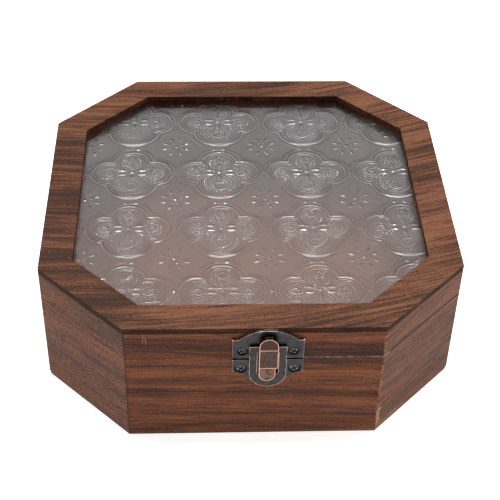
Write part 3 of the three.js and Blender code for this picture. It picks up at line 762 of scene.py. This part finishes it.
def build_screw(name, material):
    """A round head with a cross slot on a pointed shank, its axis along Y."""
    body, aside_from_latch, level, radius, turn = LATCH_SCREWS[name]
    spot = (LATCH_X + aside_from_latch, SCREW_SEAT, level)
    span = np.linspace(-1, 1, HEAD_GRID)
    a, b = np.meshgrid(span, span)
    across = radius * a * np.sqrt(1 - b * b / 2)
    up = radius * b * np.sqrt(1 - a * a / 2)
    share = np.clip(np.hypot(across, up) / radius, 0, 1)
    rise = HEAD_RIM + (HEAD_DOME - HEAD_RIM) * np.sqrt(1 - 0.96 * share ** 2)
    turn = math.radians(turn)
    along = across * math.cos(turn) + up * math.sin(turn)
    aside = up * math.cos(turn) - across * math.sin(turn)
    for arm, wide in ((along, aside), (aside, along)):
        slot = (np.abs(wide) < SLOT_HALF) & (np.abs(arm) < SLOT_REACH)
        rise = np.where(slot, np.minimum(rise, HEAD_DOME - SLOT_DEPTH), rise)
    points = np.stack([spot[0] + across, spot[1] - rise, spot[2] + up], -1).reshape(-1, 3)
    index = np.arange(HEAD_GRID ** 2).reshape(HEAD_GRID, HEAD_GRID)
    cells = grid_cells(index).tolist()
    rim = [*index[0, :-1], *index[:-1, -1], *index[-1, :0:-1], *index[:0:-1, 0]]
    back = [len(points) + k for k in range(len(rim))]
    seat = points[rim]
    seat[:, 1] = spot[1]
    points = np.vstack([points, seat])
    for k in range(len(rim)):
        following = (k + 1) % len(rim)
        cells.append([int(rim[k]), back[k], back[following], int(rim[following])])
    cells.append(back[::-1])
    corners = np.arange(SHANK_SIDES) * math.tau / SHANK_SIDES
    rings = [
        [(spot[0] + r * math.cos(t), spot[1] + deep, spot[2] + r * math.sin(t)) for t in corners]
        for r, deep in SHANK]
    base = len(points)
    points = np.vstack([points, *rings])
    ring = [[base + level * SHANK_SIDES + k for k in range(SHANK_SIDES)] for level in range(len(SHANK))]
    cells.append(ring[0])
    for near, far in zip(ring, ring[1:]):
        for k in range(SHANK_SIDES):
            following = (k + 1) % SHANK_SIDES
            cells.append([near[k], far[k], far[following], near[following]])
    cells.append(ring[-1][::-1])
    mesh = bpy.data.meshes.new(f"latch_screw_{name}_fine")
    mesh.from_pydata((points * MM).tolist(), [], cells)
    mesh.materials.append(material)
    screw = bpy.data.objects.new(mesh.name, mesh)
    bpy.context.scene.collection.objects.link(screw)
    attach(screw, body)
    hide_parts(f"latch_screw_{name}")
    return screw


def metal(name, body, worn, rough, wear=0.5, thumb=False, edge_radius=0.35, dark_from=None, metallic=1.0):
    """Dark antique metal, rubbed bright along its edges. On the thumb piece the upper facet has a painted
    dark reflection. On the other parts, painted reflection and shadow darken the plate round the thumb tip
    and painted shade fills the screw recesses. Painted shade also fills the gap behind the tip, and lies
    behind the depth dark_from, if given.
    """
    s = Shade(name)
    point = s.point()
    x, y, z = s.split(point)
    cloud = s.noise(s.scaled(point, 0.42, 0.42, 0.42), detail=4, roughness=0.65)
    grain = s.noise(s.scaled(point, 2.6, 2.6, 2.6), detail=2)
    near = s.node("ShaderNodeBevel", {"Radius": edge_radius * MM}, samples=12).outputs[0]
    plain = s.node("ShaderNodeNewGeometry").outputs["Normal"]
    edge = s.node("ShaderNodeVectorMath", {0: near, 1: plain}, operation="DOT_PRODUCT").outputs["Value"]
    edge = s.times(s.span(edge, 0.84, 0.985, 1.0, 0.0), s.span(cloud, 0.30, 0.58, 0.45, 1.0))
    darker = tuple(0.6 * c for c in body)
    base = s.mix(s.span(cloud, 0.35, 0.65), darker, body)
    if thumb:
        # Painted dark reflection on the thumb piece's upper facet, above the crease
        crown = s.span(z, THUMB_CREASE - 0.1, THUMB_CREASE + 0.1)
        base = s.mix(s.times(crown, 0.7), base, COPPER_CROWN_DARK_REFLECTION)
        crease = s.span(s.off(z, THUMB_CREASE), 0.0, 0.30, 1.0, 0.0)
        edge = s.math("MAXIMUM", edge, s.times(crease, 0.35))
        foot = s.times(s.span(z, THUMB_FOOT, THUMB_FOOT + 0.3, 1, 0), s.span(cloud, 0.35, 0.6, 0.005, 0.05))
        edge = s.math("MAXIMUM", edge, foot)
    else:
        flat = s.join(x, 0, z)
        # Painted reflection and shadow of the thumb tip, darkening the plate round it
        tip_shade_distance = s.distance(flat, (LATCH_X, 0, THUMB_TIP - 0.4))
        base = s.mix(s.span(tip_shade_distance, 2.6, 4.6, 0.85, 0.0), base, PAINTED_SHADE)
        # Painted shade in the screw recesses, strongest below the plate face
        sunk = s.span(y, PLATE_FACE + 0.05, PLATE_FACE + 0.15)
        recess_shade = s.math("MAXIMUM", sunk, 0.85)
        recesses = LATCH_SCREWS.values() if dark_from is None else ()
        for _, apart, level, radius, _ in recesses:
            away = s.distance(flat, (LATCH_X + apart, 0, level))
            edge = s.times(edge, s.span(away, 3.1, 3.8, 0.0, 1.0))
            ring = s.span(away, radius + 0.6, radius + 0.9, 1.0, 0.0)
            base = s.mix(s.times(recess_shade, ring), base, PAINTED_SHADE)
    # Painted shade in the gap behind the thumb tip
    shade_behind_tip = s.times(s.span(y, -103.2, -102.8), s.span(z, 63.5, 64.5))
    shade_behind_tip = s.times(shade_behind_tip, s.span(z, 66.7, 67.1, 1, 0))
    shade_behind_tip = s.times(shade_behind_tip, s.span(s.off(x, LATCH_X), 2.5, 3.5, 1, 0))
    base = s.mix(shade_behind_tip, base, PAINTED_SHADE)
    if dark_from is not None:
        # Painted shade in the cross slots, deeper than dark_from
        deep = s.span(y, dark_from, dark_from + 0.08)
        base = s.mix(deep, base, PAINTED_SHADE)
        edge = s.times(edge, s.math("SUBTRACT", 1.0, deep))
    edge = s.times(edge, s.math("SUBTRACT", 1.0, shade_behind_tip))
    colour = s.mix(s.math("MULTIPLY", edge, wear * 2, clamp=True), base, worn)
    height = s.math("ADD", grain, s.times(cloud, 0.5))
    return s.finish(
        Base_Color=colour, Metallic=metallic, Roughness=s.span(cloud, 0.3, 0.7, rough - 0.06, rough + 0.10),
        Normal=s.bump(height, 0.00004, 0.5))


def dress_metal():
    plate = metal("antique_bronze_plate", BRONZE, PLATE_WORN, 0.40, wear=0.65, edge_radius=1.1)
    gunmetal = metal("antique_bronze", BRONZE, HASP_WORN, 0.40, edge_radius=0.4)
    copper = metal("worn_copper", COPPER, COPPER_WORN, 0.36, wear=0.85, thumb=True, edge_radius=0.8)
    black = metal("blackened_steel", STEEL, STEEL_WORN, 0.34, wear=0.3)
    heads = metal(
        "blackened_steel_heads", HEAD_STEEL, HEAD_WORN, 0.30, wear=0.3, edge_radius=0.2,
        dark_from=SCREW_SEAT - 0.42, metallic=0.3)
    for name in LATCH_SCREWS:
        build_screw(name, heads)
    for name, node in nodes.items():
        if name in ("latch_upper_plate", "latch_lower_plate"):
            soften(dressed(name, plate), 0.12)
        elif name == "latch_hasp":
            soften(dressed(name, gunmetal), 0.12)
        elif name == "latch_thumb_piece":
            soften(dressed(name, copper), 0.25)
        elif name.startswith("hinge"):
            soften(dressed(name, black), 0.08)


# Stage, lights and camera

# Area lights: name, place, width, depth, radiance
LIGHTS = (
    ("strip_above", (0.0, 0.10, 1.25), 0.9, 0.22, 21.5),
    ("panel_behind", (0.0, 1.65, 1.6), 2.4, 1.1, 0.9),
    ("panel_left", (-1.5, -0.1, 0.7), 1.2, 1.0, 0.8),
    ("panel_right", (1.5, -0.1, 0.7), 1.2, 1.0, 1.3),
    ("panel_front", (0.0, -1.7, 1.0), 1.8, 0.8, 0.25))
LIGHT_TARGET = (0, 0, 0.06)
WORLD_LIGHT = 0.12
FLOOR_REACH = 6.0
FLOOR_WHITE = (0.9, 0.9, 0.9)
FLOOR_GLOW = 0.8


def area_light(name, place, width, depth, radiance):
    data = bpy.data.lights.new(name, "AREA")
    data.shape = "RECTANGLE"
    data.size, data.size_y = width, depth
    data.energy = radiance * math.pi * width * depth
    light = bpy.data.objects.new(name, data)
    bpy.context.scene.collection.objects.link(light)
    light.location = place
    light.rotation_euler = (Vector(LIGHT_TARGET) - Vector(place)).to_track_quat("-Z", "Y").to_euler()
    light.visible_camera = False


def build_stage():
    mesh = bpy.data.meshes.new("floor")
    r = FLOOR_REACH
    mesh.from_pydata([(-r, -r, 0), (r, -r, 0), (r, r, 0), (-r, r, 0)], [], [(0, 1, 2, 3)])
    floor = bpy.data.objects.new("floor", mesh)
    bpy.context.scene.collection.objects.link(floor)
    s = Shade("floor_white")
    mesh.materials.append(s.finish(
        Base_Color=FLOOR_WHITE, Roughness=0.9, Emission_Color=grey(1.0), Emission_Strength=FLOOR_GLOW))
    world = bpy.data.worlds.new("studio")
    bpy.context.scene.world = world
    world.use_nodes = True
    background = next(n for n in world.node_tree.nodes if n.type == "BACKGROUND")
    background.inputs[0].default_value = (*grey(1), 1)
    background.inputs[1].default_value = WORLD_LIGHT
    for light in LIGHTS:
        area_light(*light)


def build_camera():
    data = bpy.data.cameras.new("camera")
    data.sensor_width = SENSOR
    data.lens = FOCAL_PIXELS / PHOTO_SIZE * SENSOR
    camera = bpy.data.objects.new("camera", data)
    bpy.context.scene.collection.objects.link(camera)
    camera.matrix_world = (
        Matrix.Translation(CAMERA_PLACE) @ Matrix.Rotation(CAMERA_YAW, 4, "Z")
        @ Matrix.Rotation(CAMERA_PITCH, 4, "X") @ Matrix.Rotation(CAMERA_ROLL, 4, "Z"))
    bpy.context.scene.camera = camera
    bpy.context.scene.view_settings.view_transform = "Standard"


build_camera()
build_stage()
dress_wood()
dress_metal()
build_glass()
